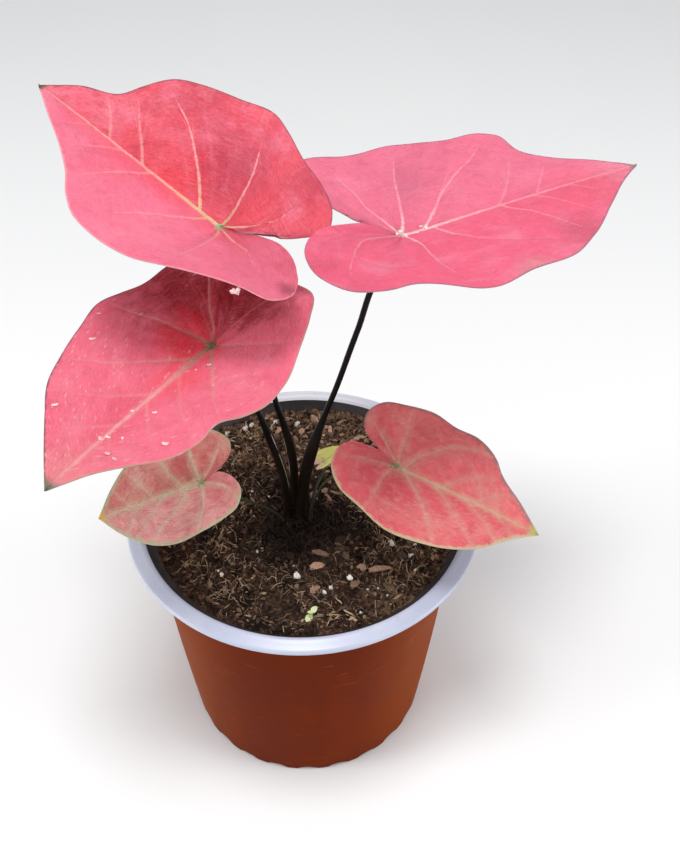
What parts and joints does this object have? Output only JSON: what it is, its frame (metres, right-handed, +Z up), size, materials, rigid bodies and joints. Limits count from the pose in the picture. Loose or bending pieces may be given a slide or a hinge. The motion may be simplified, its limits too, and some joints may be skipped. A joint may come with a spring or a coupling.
{
  "type": "potted caladium",
  "caption": "Caladium with shield-shaped pink leaves with pale veins on slim dark stalks, growing in potting mix in a round tapered plastic pot with a rolled rim.",
  "frame": {"origin": "middle of the pot's foot circle, at the height of the surface that the pot stands on", "axes": "+Z up along the pot's axis, -Y to the front of the plant, +X to its right seen from the front"},
  "size_m": [0.2297, 0.164, 0.3107],
  "materials": {
    "pot": "satin thin moulded plastic, rusty brown outside, with a pale grey rim and a black inside",
    "potting_mix": "dark brown peat with bark chips, pale fibres and white grains",
    "tuber": "rough brown skin",
    "blade_rose": "satin rose and coral leaf with cream veins",
    "blade_pink": "satin bubble-gum pink leaf with pale veins",
    "blade_coral": "satin rose leaf with a coral middle and grey-green veins",
    "blade_small": "satin red-pink leaf with beige-green veins and a pale green margin",
    "blade_young": "yellow-green young leaf",
    "stalk_dark": "glossy near-black leaf stalk with an olive-brown sheath",
    "stalk_pale": "pale grey-green leaf stalk",
    "seedling": "yellow-green seedling"
  },
  "bodies": {
    "root": {"pot": "pot", "soil": "potting_mix", "tuber": "tuber", "leaf_upper_left": "blade_rose", "leaf_upper_right": "blade_pink", "leaf_middle": "blade_coral", "leaf_lower_left": "blade_small", "leaf_lower_right": "blade_small", "leaf_young": "blade_young", "stalk_upper_left": "stalk_dark", "stalk_upper_right": "stalk_dark", "stalk_middle": "stalk_dark", "stalk_lower_left": "stalk_pale", "stalk_lower_right": "stalk_pale", "stalk_young": "stalk_pale", "seedling": "seedling"}
  },
  "joints": []
}
